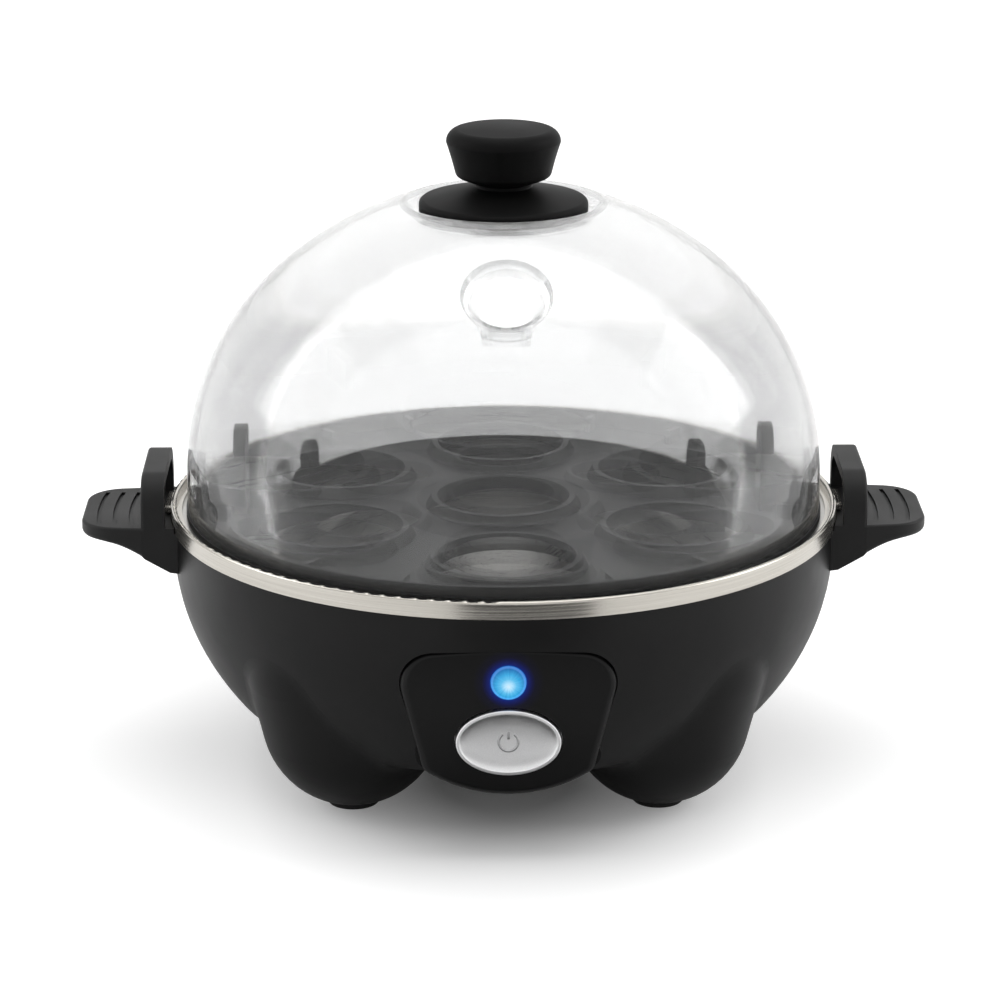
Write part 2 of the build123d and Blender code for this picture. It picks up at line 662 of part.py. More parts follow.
def indicator_lamp():
    """Light-emitting lamp inside the lens, with its base flange."""
    low = LAMP_TIP - LAMP_LENGTH
    body = along(FRONT, lamp_outline(LAMP_RADIUS), low, LAMP_TIP - LAMP_RADIUS)
    ball = FRONT.offset(LAMP_TIP - LAMP_RADIUS) * Pos(0, LAMP_HEIGHT, 0) * Sphere(LAMP_RADIUS)
    collar = along(FRONT, lamp_outline(LAMP_RADIUS + LAMP_COLLAR), low, low + LAMP_COLLAR_SHEET)
    return body + ball + collar


def lamp_holder():
    """Sleeve that clamps the lamp and the lens against the chin."""
    floor = LAMP_TIP - LAMP_LENGTH
    outer = lamp_outline(LENS_RADIUS + LENS_FLANGE)
    body = along(FRONT, outer, floor - HOLDER_FLOOR, PANEL_BACK - LENS_FLANGE_SHEET)
    return body - along(FRONT, lamp_outline(LAMP_RADIUS + LAMP_COLLAR), floor, PANEL_BACK)


def rim_ring():
    """Steel band with a rolled lip, an inner flange on the pan and a tongue at each handle."""
    low = RIM_HEIGHT
    top = RIM_HEIGHT + RING_HEIGHT
    inner = BAND_INNER
    bead_inner = RIM_RADIUS - RING_BEAD
    bead = RING_BEAD / 2
    face = outline(
        Polyline((inner, PAN_TOP), (inner, low), (RIM_RADIUS, low), (RIM_RADIUS, top - bead)),
        ThreePointArc((RIM_RADIUS, top - bead), (RIM_RADIUS - bead, top), (bead_inner, top - bead)),
        Polyline(
            (bead_inner, top - bead),
            (bead_inner, PAN_TOP + RING_SHEET),
            (RING_LEDGE_RADIUS, PAN_TOP + RING_SHEET),
            (RING_LEDGE_RADIUS, PAN_TOP),
            (inner, PAN_TOP),
        ),
    )
    ring = turned(face)
    tongue_low = RIM_HEIGHT + WING_TOP + FIT
    for side in (1, -1):
        middle = (tongue_low + top - bead) / 2
        shape = Pos(0, middle) * RectangleRounded(TONGUE_WIDTH, top - bead - tongue_low, TONGUE_CORNER)
        tongue = along(side_plane(side), shape, inner, RIM_RADIUS + TONGUE_REACH)
        ring += tongue - upright(inner, low, top)
    return ring


def heating_pan():
    """Thin steel water dish with a flat flange."""
    middle = PAN_SHEET / 2
    path = FilletPolyline(
        (PAN_FLANGE_RADIUS, PAN_TOP - middle),
        (PAN_MOUTH, PAN_TOP - middle),
        (PAN_FLOOR_RADIUS, PAN_FLOOR - middle),
        (0, PAN_FLOOR - middle),
        radius=[PAN_BRIM_CORNER, PAN_CORNER],
    )
    return turned(trace(path, PAN_SHEET))


def pan_gasket():
    """Flat silicone ring between the pan's flange and the bowl's ledge."""
    return tube(PAN_FLANGE_RADIUS, RIM_LEDGE_RADIUS + GASKET_SETBACK, GASKET_LOW, PAN_LOW)


def heat_spreader():
    """Aluminium disc under the pan."""
    disc = upright(SPREADER_RADIUS, SPREADER_LOW, SPREADER_LOW + SPREADER_SHEET)
    return chamfer(disc.edges().group_by(Axis.Z)[0], SPREADER_EDGE)


def heating_element():
    """Flattened horseshoe element with two connection pins."""
    half = ELEMENT_WIDTH / 2
    low = SPREADER_LOW - ELEMENT_TALL
    face = corners(
        (ELEMENT_RADIUS - half, SPREADER_LOW),
        (ELEMENT_RADIUS + half, SPREADER_LOW),
        (ELEMENT_RADIUS + half, low),
        (ELEMENT_RADIUS - half, low),
    )
    lows = face.vertices().sort_by(Axis.Y)[:2]
    face = fillet(lows, half * ELEMENT_ROUND)
    arc = revolve(Plane.XZ * face, Axis.Z, 360 - ELEMENT_GAP)
    body = Rot(0, 0, 90 + ELEMENT_GAP / 2) * arc
    for sign in (1, -1):
        angle = math.radians(90 + sign * (ELEMENT_GAP / 2 + PIN_TURN))
        x = ELEMENT_RADIUS * math.cos(angle)
        y = ELEMENT_RADIUS * math.sin(angle)
        body += upright(PIN_RADIUS, low - PIN_LENGTH, low + PIN_SINK, x, y)
    return body


def thermostat():
    """Disc thermostat held against the spreader, with two blade contacts."""
    low = SPREADER_LOW - THERMOSTAT_TALL
    body = upright(THERMOSTAT_RADIUS, low, SPREADER_LOW)
    cup = upright(THERMOSTAT_RADIUS + THERMOSTAT_LIP, SPREADER_LOW - THERMOSTAT_CUP, SPREADER_LOW)
    blades = [Pos(x, 0, low - BLADE_DROP) * Box(*BLADE_SIZE) for x in (-BLADE_OFFSET, BLADE_OFFSET)]
    return body + cup + blades


def thermal_fuse():
    """Round cut-out fuse that lies against the spreader."""
    height = SPREADER_LOW - FUSE_RADIUS
    place = Pos(0, -FUSE_OFFSET, height) * Rot(0, 90, 0)
    leads = Cylinder(LEAD_RADIUS, FUSE_LENGTH + 2 * LEAD_LENGTH)
    return place * (Cylinder(FUSE_RADIUS, FUSE_LENGTH) + leads)


def fuse_clip():
    """Bent strap that holds the fuse up against the spreader."""
    gap = FUSE_RADIUS + SCREW_SLACK
    outer = gap + CLIP_SHEET
    middle = SPREADER_LOW - FUSE_RADIUS
    ear = outer + CLIP_EAR
    floor = middle - outer
    saddle = Pos(0, middle) * Circle(outer) + slab_face(outer, middle, SPREADER_LOW)
    ears = slab_face(ear, SPREADER_LOW - CLIP_SHEET, SPREADER_LOW)
    room = Pos(0, middle) * Circle(gap) + slab_face(gap, middle, SPREADER_LOW)
    below = slab_face(ear, floor, SPREADER_LOW)
    strap = (saddle + ears - room) & below
    plane = Plane(origin=(0, -FUSE_OFFSET, 0), x_dir=(0, 1, 0), z_dir=(1, 0, 0))
    return along(plane, strap, -CLIP_WIDTH / 2, CLIP_WIDTH / 2)


def cord_grommet():
    """Strain-relief bush in the rear wall, with the bore for the mains cord."""
    lip = along(REAR, Pos(0, INLET_HEIGHT) * Circle(GROMMET_FLANGE), INLET_FACE, INLET_FACE + GROMMET_LIP)
    lip = fillet(lip.faces().sort_by(Axis.Y)[-1].edges(), GROMMET_LIP / 2)
    wall_face = bowl_radius(INLET_HEIGHT) - INLET_DEPTH
    end = wall_face - GROMMET_CATCH
    body = along(REAR, Pos(0, INLET_HEIGHT) * Circle(GROMMET_RADIUS), end, INLET_FACE)
    catch = along(REAR, Pos(0, INLET_HEIGHT) * Circle(GROMMET_RADIUS + GROMMET_CATCH_RIM), end, wall_face)
    bore = along(REAR, Pos(0, INLET_HEIGHT) * Circle(INLET_BORE), 0, FAR)
    return lip + body + catch - bore


def wing_form():
    """Wing of the right handle: its plan pushed up, with the underside swept away."""
    top = RIM_HEIGHT + WING_TOP
    root = BOWL_RADIUS - WING_SINK
    low = top - WING_ROOT_THICK - WING_EDGE
    plan = corners(
        (root, -WING_ROOT_HALF),
        (ARCH_OUTER, -WING_ROOT_HALF),
        (WING_REACH, -WING_TIP_HALF),
        (WING_REACH, WING_TIP_HALF),
        (ARCH_OUTER, WING_ROOT_HALF),
        (root, WING_ROOT_HALF),
    )
    plan = fillet(plan.vertices().sort_by(Axis.X)[-2:], WING_TIP_CORNER)
    slab = extrude(Pos(0, 0, low) * plan, top - low)
    nose = (WING_REACH - WING_TIP_THICK, top - WING_TIP_THICK)
    middle = (BOWL_RADIUS + WING_MID, top - WING_MID_THICK)
    heel = (BOWL_RADIUS, top - WING_ROOT_THICK)
    under = Spline(nose, middle, heel, tangents=[(-1, 0), (-1, -0.55)])
    past = WING_REACH + WING_EDGE
    inside = root - WING_EDGE
    sunk = heel[1] - WING_EDGE / 2
    floor = low - WING_EDGE
    below = outline(
        under,
        Polyline(heel, (inside, sunk), (inside, floor), (past, floor), (past, nose[1]), nose),
    )
    wing = slab - extrude(Plane.XZ * below, FAR, both=True)
    rim = wing.edges().filter_by(lambda e: e.center().X > ARCH_OUTER and e.length > WING_EDGE / 2)
    wing = fillet(rim.filter_by(lambda e: abs(e.center().Z - nose[1]) < WING_EDGE), WING_EDGE)
    brim = wing.faces().sort_by(Axis.Z)[-1].edges().filter_by(lambda e: e.center().X > ARCH_OUTER)
    return fillet(brim, WING_EDGE / 2)


def arch_form():
    """Finger arch of the right handle, an upside-down U that stands on the wing."""
    foot = RIM_HEIGHT + WING_TOP - ARCH_SINK
    top = RIM_HEIGHT + ARCH_TOP
    outer = WING_ROOT_HALF
    inner = outer - ARCH_STRAP
    outer_face = slab_face(outer, foot, top)
    outer_face = fillet(outer_face.vertices().sort_by(Axis.Y)[-2:], ARCH_BEND)
    inner_top = top - ARCH_STRAP
    inner_face = slab_face(inner, foot, inner_top)
    inner_face = fillet(inner_face.vertices().sort_by(Axis.Y)[-2:], ARCH_BEND - ARCH_STRAP + ARCH_EDGE)
    strap = along(side_plane(1), outer_face - inner_face, ARCH_INNER, ARCH_OUTER)
    rim = strap.faces().sort_by(Axis.X)[-1].edges()
    return fillet(rim.filter_by(lambda e: e.center().Z > foot + ARCH_EDGE), ARCH_EDGE)


def handle(side):
    """One handle for the right (1) or the left (-1) side."""
    body = wing_form() + arch_form()
    top = RIM_HEIGHT + WING_TOP
    half = WING_TIP_HALF - GROOVE_MARGIN
    for i in range(GROOVE_COUNT):
        reach = WING_REACH - GROOVE_STEP * (i + 1)
        bend = ThreePointArc((reach - GROOVE_BOW, -half), (reach, 0), (reach - GROOVE_BOW, half))
        groove = extrude(Pos(0, 0, top - GROOVE_DEPTH) * trace(bend, GROOVE_WIDTH), 2 * GROOVE_DEPTH)
        body -= groove
    bowl = bowl_form(0, BELLY_HEIGHT, RIM_HEIGHT, BELLY_EDGE)
    ring_room = upright(RIM_RADIUS + FIT, RIM_HEIGHT, RIM_HEIGHT + WING_TOP)
    holes = []
    for y, z in handle_screw_places():
        end = bowl_radius(z) - HOUSING_WALL - HANDLE_BOSS + HANDLE_SCREW + HOLE_SPARE
        holes.append(along(side_plane(1), Pos(y, z) * Circle(SCREW_RADIUS + SCREW_SLACK), 0, end))
    body = body - [bowl, ring_room] - holes
    return body if side == 1 else mirror(body, Plane.YZ)


def egg_tray():
    """Round tray with seven collared seats, two lifting tabs and small guide fins."""
    plate_top = TRAY_TOP - TRAY_DROP
    plate_low = plate_top - TRAY_SHEET
    face = corners(
        (0, plate_low),
        (TRAY_INNER - SLIP, plate_low),
        (TRAY_INNER - SLIP, PAN_TOP),
        (TRAY_FLANGE_RADIUS, PAN_TOP),
        (TRAY_FLANGE_RADIUS, TRAY_TOP),
        (TRAY_UPSTAND, TRAY_TOP),
        (TRAY_UPSTAND, TRAY_TOP + UPSTAND_TALL),
        (TRAY_INNER, TRAY_TOP + UPSTAND_TALL),
        (TRAY_INNER, plate_top),
        (0, plate_top),
    )
    tray = turned(face)
    seats = [(0.0, 0.0)]
    for i in range(SEAT_COUNT):
        angle = math.radians(270 + 360 * i / SEAT_COUNT)
        seats.append((SEAT_CIRCLE * math.cos(angle), SEAT_CIRCLE * math.sin(angle)))
    collar = turned(corners(
        (0, plate_top - TRAY_SHEET / 2),
        (SEAT_HOLE + COLLAR_FOOT, plate_top - TRAY_SHEET / 2),
        (SEAT_HOLE + COLLAR_FOOT, plate_top),
        (SEAT_HOLE + COLLAR_TOP, plate_top + COLLAR_TALL),
        (0, plate_top + COLLAR_TALL),
    ))
    tray += [Pos(x, y, 0) * collar for x, y in seats]
    tray -= [upright(SEAT_HOLE, plate_low, plate_top + COLLAR_TALL, x, y) for x, y in seats]
    tray += [lifting_tab(side, plate_top) for side in (1, -1)]
    fins = []
    for i in range(SEAT_COUNT):
        for sign in (1, -1):
            turn = 270 + 360 * i / SEAT_COUNT + sign * FIN_TURN
            fin = Box(FIN_LENGTH, FIN_SHEET, FIN_TALL + FIN_SINK)
            place = Pos(TRAY_INNER - FIN_ROOM - FIN_LENGTH / 2, 0, plate_top + (FIN_TALL - FIN_SINK) / 2)
            fins.append(Rot(0, 0, turn) * place * fin)
    return tray + fins


def lifting_tab(side, plate_top):
    """Upright tab with a quarter-round gusset towards the rim."""
    half = TAB_WIDTH / 2
    low = plate_top - TAB_SINK
    face = slab_face(half, low, TAB_TOP)
    face = fillet(face.vertices().sort_by(Axis.Y)[-2:], half - TAB_SHOULDER)
    tab = along(side_plane(side), face, TAB_RADIUS - TAB_SHEET / 2, TAB_RADIUS + TAB_SHEET / 2)
    start = (TAB_RADIUS, plate_top + GUSSET_TALL)
    end = (TRAY_INNER - GUSSET_ROOM, plate_top)
    bulge = (start[0] + (end[0] - start[0]) * GUSSET_BULGE, plate_top + GUSSET_TALL * GUSSET_BULGE)
    web = outline(ThreePointArc(start, bulge, end), Polyline(end, (end[0], low), (start[0], low), start))
    gusset = extrude(Plane.XZ * web, GUSSET_SHEET / 2, both=True)
    if side == -1:
        gusset = mirror(gusset, Plane.YZ)
    return tab + gusset


def dome_section(inset):
    """Side of the dome moved in by a wall: points and arcs from the skirt to the seat."""
    centre = (DOME_RADIUS - DOME_SIDE_ARC, DOME_LOW + DOME_SKIRT)
    sweep = math.radians(DOME_SIDE_SWEEP)
    side_arc = DOME_SIDE_ARC - inset
    crown_arc = DOME_CROWN_ARC - inset
    joint = (centre[0] + side_arc * math.cos(sweep), centre[1] + side_arc * math.sin(sweep))
    crown = (joint[0] - crown_arc * math.cos(sweep), joint[1] - crown_arc * math.sin(sweep))
    half = sweep / 2
    middle = (centre[0] + side_arc * math.cos(half), centre[1] + side_arc * math.sin(half))
    return centre, side_arc, middle, joint, crown, crown_arc


def crown_height(radius, inset=0.0):
    """Height of the dome's crown arc at a radius."""
    _, _, _, _, crown, crown_arc = dome_section(inset)
    return crown[1] + math.sqrt(crown_arc**2 - (radius - crown[0]) ** 2)


def seat_height():
    """Top of the flat seat under the knob."""
    return crown_height(SEAT_LIP) - SEAT_DROP


def dome_face(inset, lip, seat, seat_top):
    """Solid outline of the dome under a skin, with its sunk seat."""
    centre, side_arc, middle, joint, crown, crown_arc = dome_section(inset)
    base = (centre[0] + side_arc, DOME_LOW)
    waist = (centre[0] + side_arc, centre[1])
    crest = (lip, crown[1] + math.sqrt(crown_arc**2 - (lip - crown[0]) ** 2))
    between = (joint[0] + lip) / 2
    bulge = (between, crown[1] + math.sqrt(crown_arc**2 - (between - crown[0]) ** 2))
    return outline(
        Line((0, DOME_LOW), base),
        Line(base, waist),
        ThreePointArc(waist, middle, joint),
        ThreePointArc(joint, bulge, crest),
        Line(crest, (seat, seat_top)),
        Line((seat, seat_top), (0, seat_top)),
        Line((0, seat_top), (0, DOME_LOW)),
    )


def vent_frame():
    """Plane of the vent's rim: its middle is on the dome and it looks up and forward."""
    tilt = math.radians(VENT_TILT)
    middle = (0, -VENT_REACH, crown_height(VENT_REACH))
    return Plane(origin=middle, x_dir=(1, 0, 0), z_dir=(0, -math.cos(tilt), math.sin(tilt)))


def vent_throat_height():
    """Height of the funnel's floor."""
    return crown_height(VENT_REACH) - VENT_DEPTH


def vent_funnel(rim_radius, throat_radius, drop):
    """Funnel from the tilted rim to the level throat, as a solid."""
    rim = vent_frame().offset(VENT_BEAD + drop) * Circle(rim_radius)
    throat = Pos(0, -VENT_THROAT_REACH, vent_throat_height()) * Circle(throat_radius)
    return loft([rim, throat])


def lid_dome():
    """Clear dome with a sunk knob seat and a funnel-shaped steam vent."""
    top = seat_height()
    shell = turned(dome_face(0, SEAT_LIP, SEAT_RADIUS, top))
    room = turned(dome_face(DOME_WALL, SEAT_LIP + LIP_WALL, SEAT_RADIUS + SEAT_WALL, top - DOME_WALL))
    crest = shell.edges().filter_by(GeomType.CIRCLE).sort_by(Axis.Z)[-1]
    shell = fillet(crest, LIP_EDGE)
    throat_top = vent_throat_height()
    throat_low = throat_top - VENT_TUBE
    wall = vent_funnel(VENT_RADIUS, VENT_THROAT + VENT_WALL, 0)
    spout = upright(VENT_THROAT + VENT_WALL, throat_low, throat_top, 0, -VENT_THROAT_REACH)
    funnel = vent_funnel(VENT_FUNNEL, VENT_THROAT, VENT_SKIN)
    throat = upright(VENT_THROAT, throat_low - VENT_OVERLAP, throat_top + VENT_OVERLAP, 0, -VENT_THROAT_REACH)
    dome = shell - room + wall + spout - [funnel, throat]
    hole = upright(KNOB_SCREW_RADIUS + SCREW_SLACK, top - 2 * DOME_WALL, top + DOME_WALL)
    return dome - hole


def soften(face, point, radius):
    """Round the corner of a face that lies nearest to a point."""
    return fillet(face.vertices().sort_by_distance((point[0], point[1], 0))[0], radius)


def lid_knob():
    """Turned knob: a thin skirt, a narrow neck and a domed head."""
    low = seat_height()
    edge = (KNOB_SKIRT, low + KNOB_SKIRT_EDGE)
    cone_top = (KNOB_NECK, low + KNOB_CONE_TALL)
    neck_top = (KNOB_NECK, low + KNOB_CONE_TALL + KNOB_NECK_TALL)
    head_low = (KNOB_HEAD_LOW, neck_top[1] + KNOB_UNDERCUT)
    brim_top = neck_top[1] + KNOB_HEAD_TALL
    brim_low = (KNOB_HEAD, brim_top - KNOB_BRIM)
    waist = ((KNOB_HEAD_LOW + KNOB_HEAD) / 2 - KNOB_HEAD_HOLLOW, (head_low[1] + brim_low[1]) / 2)
    turn = KNOB_BRIM * math.sqrt(0.5)
    brim_middle = (KNOB_HEAD - KNOB_BRIM + turn, brim_top - KNOB_BRIM + turn)
    crown_edge = (KNOB_HEAD - KNOB_BRIM, brim_top)
    ball = (crown_edge[0] ** 2 + KNOB_CROWN**2) / (2 * KNOB_CROWN)
    sweep = math.degrees(math.asin(crown_edge[0] / ball))
    crown = CenterArc((0, brim_top + KNOB_CROWN - ball), ball, 90 - sweep, sweep)
    face = outline(
        Polyline((0, low), (KNOB_SKIRT, low), edge, cone_top, neck_top, head_low),
        ThreePointArc(head_low, waist, brim_low),
        ThreePointArc(brim_low, brim_middle, crown_edge),
        crown,
        Line(crown @ 1, (0, low)),
    )
    face = soften(face, edge, KNOB_SKIRT_CORNER)
    face = soften(face, cone_top, KNOB_NECK_CORNER)
    face = soften(face, head_low, KNOB_HEAD_CORNER)
    hole = upright(KNOB_SCREW_RADIUS + SCREW_SLACK, low, low + KNOB_SCREW_LENGTH - DOME_WALL - WASHER_SHEET)
    return turned(face) - hole


def knob_washer():
    """Flat washer under the seat."""
    high = seat_height() - DOME_WALL
    return tube(WASHER_RADIUS, KNOB_SCREW_RADIUS + SCREW_SLACK, high - WASHER_SHEET, high)


def knob_screw():
    """Screw from inside the dome up into the knob."""
    seat = seat_height() - DOME_WALL - WASHER_SHEET
    low = seat - KNOB_SCREW_HEAD_TALL
    width, depth = KNOB_SLOT
    head = upright(KNOB_SCREW_HEAD, low, seat)
    head = fillet(head.edges().group_by(Axis.Z)[0], depth)
    slot = Pos(0, 0, low) * Box(2 * (KNOB_SCREW_HEAD - width), width, 2 * depth)
    return head + upright(KNOB_SCREW_RADIUS, seat, seat + KNOB_SCREW_LENGTH - HOLE_SPARE) - slot


PIECES = {
    "base_housing": base_housing,
    "bottom_cover": bottom_cover,
    "cover_screws": cover_screws,
    "rubber_feet": rubber_feet,
    "control_panel": control_panel,
    "power_button": power_button,
    "switch_plunger": switch_plunger,
    "push_switch": push_switch,
    "control_board": control_board,
    "board_screws": board_screws,
    "buzzer": buzzer,
    "indicator_lens": indicator_lens,
    "indicator_lamp": indicator_lamp,
    "lamp_holder": lamp_holder,
    "rim_ring": rim_ring,
    "heating_pan": heating_pan,
    "pan_gasket": pan_gasket,
    "heat_spreader": heat_spreader,
    "heating_element": heating_element,
    "thermostat": thermostat,
    "thermal_fuse": thermal_fuse,
    "fuse_clip": fuse_clip,
    "cord_grommet": cord_grommet,
    "right_handle": lambda: handle(1),
    "left_handle": lambda: handle(-1),
    "handle_screws": handle_screws,
    "egg_tray": egg_tray,
    "lid_dome": lid_dome,
    "lid_knob": lid_knob,
    "knob_washer": knob_washer,
    "knob_screw": knob_screw,
}


def build():
    """Make each piece and write it to its own file."""
    os.makedirs("parts", exist_ok=True)
    for name, make in PIECES.items():
        piece = make()
        export_step(piece, os.path.join("parts", name + ".step"))
        size = piece.bounding_box().size
        print(name, round(size.X, 2), round(size.Y, 2), round(size.Z, 2))


build()
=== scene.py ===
# %% [markdown]
# # An electric egg cooker, dressed for the studio
# The shape of every part comes from the CAD model. This file gives each part the finish of
# the real thing, adds the small moulded mark that the CAD leaves out, and sets up a plain
# studio with a camera.

# %% Load the CAD model
import math
import bpy
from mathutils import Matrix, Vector


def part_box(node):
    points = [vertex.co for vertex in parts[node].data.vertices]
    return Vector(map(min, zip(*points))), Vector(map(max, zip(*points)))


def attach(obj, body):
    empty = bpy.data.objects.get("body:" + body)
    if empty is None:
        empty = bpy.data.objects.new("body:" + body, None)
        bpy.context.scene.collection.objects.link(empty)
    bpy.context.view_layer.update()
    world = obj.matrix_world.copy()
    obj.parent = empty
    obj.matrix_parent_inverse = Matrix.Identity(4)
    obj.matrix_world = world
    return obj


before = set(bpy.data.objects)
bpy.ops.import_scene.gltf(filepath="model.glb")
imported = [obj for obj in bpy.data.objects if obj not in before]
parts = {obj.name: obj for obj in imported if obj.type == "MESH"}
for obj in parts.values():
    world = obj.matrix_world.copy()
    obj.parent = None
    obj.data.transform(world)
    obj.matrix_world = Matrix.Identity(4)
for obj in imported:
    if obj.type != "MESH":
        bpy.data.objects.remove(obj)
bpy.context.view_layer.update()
print("parts from the CAD model:", len(parts))

# %% [markdown]
# The CAD parts arrive selected. A Blender operator acts on whatever is selected, so a
# small helper clears the selection before each new piece is made.

# %% Start clean
def select_only(thing=None):
    """Leave edit mode, clear the selection and pick one object."""
    if bpy.context.mode != "OBJECT":
        bpy.ops.object.mode_set(mode="OBJECT")
    bpy.ops.object.select_all(action="DESELECT")
    if thing is not None:
        thing.select_set(True)
        bpy.context.view_layer.objects.active = thing

select_only()
MM = 0.001
print("one millimetre is", MM, "of a Blender unit")

# %% [markdown]
# A finish starts from the Principled shader. Values that are the same all over go straight
# on its sockets. Anything that changes over the surface, such as grain, is worked out from
# Object coordinates, so it stays on the part when the part moves.

# %% A blank finish and how to put it on a part
def grey(value):
    """Colour without a hue."""
    return (value, value, value)

def finish(name, colour, roughness, **sockets):
    """New material with the plain values set on the shader."""
    material = bpy.data.materials.new(name)
    material.use_nodes = True
    tree = material.node_tree
    shader = tree.nodes["Principled BSDF"]
    shader.inputs["Base Color"].default_value = (*colour, 1.0)
    shader.inputs["Roughness"].default_value = roughness
    for socket, value in sockets.items():
        shader.inputs[socket.replace("_", " ")].default_value = value
    return material, tree, shader

def put_on(material, *names):
    """Give CAD parts one material each."""
    for name in names:
        parts[name].data.materials.clear()
        parts[name].data.materials.append(material)
    print(material.name, "on", ", ".join(names))

# %% [markdown]
# Nearly every finish here needs the same things: a place on the part to read a pattern
# from, two colours that run into each other, fine relief for the light to catch, and a
# shine that isn't quite even. Each helper adds its nodes and links them, so that a finish
# reads like a list.

# %% Helpers for grain and uneven shine
def spot(tree):
    """Object coordinates: the place on the part itself."""
    return tree.nodes.new("ShaderNodeTexCoord").outputs["Object"]

def mottle(tree, vector, size, detail=2.0):
    """Noise whose blobs are about this many metres across."""
    noise = tree.nodes.new("ShaderNodeTexNoise")
    noise.inputs["Scale"].default_value = 1.0 / size
    noise.inputs["Detail"].default_value = detail
    tree.links.new(vector, noise.inputs["Vector"])
    return noise.outputs["Fac"]

def between(tree, value, low, high, start=0.3, stop=0.7):
    """Low up to the start, high from the stop on, and a straight line between them."""
    spread = tree.nodes.new("ShaderNodeMapRange")
    spread.inputs["From Min"].default_value = start
    spread.inputs["From Max"].default_value = stop
    spread.inputs["To Min"].default_value = low
    spread.inputs["To Max"].default_value = high
    tree.links.new(value, spread.inputs["Value"])
    return spread.outputs["Result"]

def colour_steps(tree, value, *steps):
    """Colour ramp with a colour at each position."""
    ramp = tree.nodes.new("ShaderNodeValToRGB")
    elements = ramp.color_ramp.elements
    while len(elements) < len(steps):
        elements.new(0.5)
    for element, (position, colour) in zip(elements, steps):
        element.position = position
        element.color = (*colour, 1.0)
    tree.links.new(value, ramp.inputs["Fac"])
    return ramp.outputs["Color"]

def two_tone(tree, shader, value, dark, light):
    """Base colour that wanders between two colours."""
    colour = colour_steps(tree, value, (0.35, dark), (0.65, light))
    tree.links.new(colour, shader.inputs["Base Color"])

def uneven_gloss(tree, shader, value, low, high):
    """Roughness that wanders between two values."""
    tree.links.new(between(tree, value, low, high), shader.inputs["Roughness"])

def relief(tree, shader, height, depth):
    """Bump of this many metres from a height value."""
    bump = tree.nodes.new("ShaderNodeBump")
    bump.inputs["Distance"].default_value = depth
    bump.inputs["Strength"].default_value = 1.0
    tree.links.new(height, bump.inputs["Height"])
    tree.links.new(bump.outputs["Normal"], shader.inputs["Normal"])

# %% [markdown]
# ## Black plastics
# The bowl, feet, handles and knob are moulded from black plastic. The steel mould is etched,
# so the surface is a fine matte grain that spreads reflections into soft bands of light at
# the edges. One recipe with different numbers makes all of them.

# %% Moulded black plastic
def moulded_black(name, dark, light, rough, grain, depth, shine):
    """Etched black plastic: a low sheen, fine grain and a slightly uneven gloss."""
    material, tree, shader = finish(name, light, rough, Specular_IOR_Level=shine)
    where = spot(tree)
    two_tone(tree, shader, mottle(tree, where, size=0.012), dark, light)
    uneven_gloss(tree, shader, mottle(tree, where, size=0.02), rough - 0.04, rough + 0.04)
    relief(tree, shader, mottle(tree, where, grain), depth)
    return material

body_black = moulded_black("body_black", (0.0026, 0.0026, 0.0027), (0.0036, 0.0035, 0.0035),
                           rough=0.40, grain=0.0004, depth=0.000006, shine=0.18)
handle_black = moulded_black("handle_black", grey(0.0034), grey(0.0046),
                             rough=0.50, grain=0.0004, depth=0.000008, shine=0.24)
knob_black = moulded_black("knob_black", grey(0.0026), grey(0.0034),
                           rough=0.55, grain=0.0004, depth=0.000005, shine=0.07)
put_on(body_black, "base_housing", "bottom_cover")
put_on(handle_black, "left_handle", "right_handle")
put_on(knob_black, "lid_knob")

# %% [markdown]
# The tray is a dark grey plastic. Its grain is much shallower than the bowl's, because it
# has to wipe clean.

# %% Egg tray plastic
tray_grey = moulded_black("tray_grey", grey(0.018), grey(0.022),
                          rough=0.42, grain=0.0005, depth=0.0000008, shine=0.09)
put_on(tray_grey, "egg_tray")

# %% [markdown]
# ## Steel
# The band round the rim is rolled from sheet and brushed along its length, so its fine
# scratches run round the axis. A picture of scratches would need the band unrolled, so
# the place on the band is turned into an angle, a radius and a height by sums, and the
# noise is stretched far along the angle.

# %% Helpers for sums on places
def combine(tree, how, first, second):
    """Math node on two values, each a socket or a plain number."""
    node = tree.nodes.new("ShaderNodeMath")
    node.operation = how
    for socket, value in zip(node.inputs, (first, second)):
        if isinstance(value, float):
            socket.default_value = value
        else:
            tree.links.new(value, socket)
    return node.outputs["Value"]

def length_of(tree, vector):
    """Length of a vector."""
    node = tree.nodes.new("ShaderNodeVectorMath")
    node.operation = "LENGTH"
    tree.links.new(vector, node.inputs[0])
    return node.outputs["Value"]

def split_up(tree, vector):
    """The axes of a vector, to be picked by name."""
    node = tree.nodes.new("ShaderNodeSeparateXYZ")
    tree.links.new(vector, node.inputs["Vector"])
    return node.outputs

def joined(tree, *axes):
    """Vector from one to three values. An axis that is left out is zero."""
    node = tree.nodes.new("ShaderNodeCombineXYZ")
    for socket, value in zip(node.inputs, axes):
        tree.links.new(value, socket)
    return node.outputs["Vector"]

def placed(tree, vector, setting, value):
    """Mapping node with one of its settings changed."""
    node = tree.nodes.new("ShaderNodeMapping")
    node.inputs[setting].default_value = value
    tree.links.new(vector, node.inputs["Vector"])
    return node.outputs["Vector"]

# %% Scratches that run round the axis
def round_the_axis(tree, along, across):
    """Angle, radius and height as a vector: long grain round the axis and fine across it."""
    axes = split_up(tree, spot(tree))
    angle = combine(tree, "ARCTAN2", axes["Y"], axes["X"])
    radius = length_of(tree, joined(tree, axes["X"], axes["Y"]))
    return placed(tree, joined(tree, angle, radius, axes["Z"]), "Scale", (along, across, across))

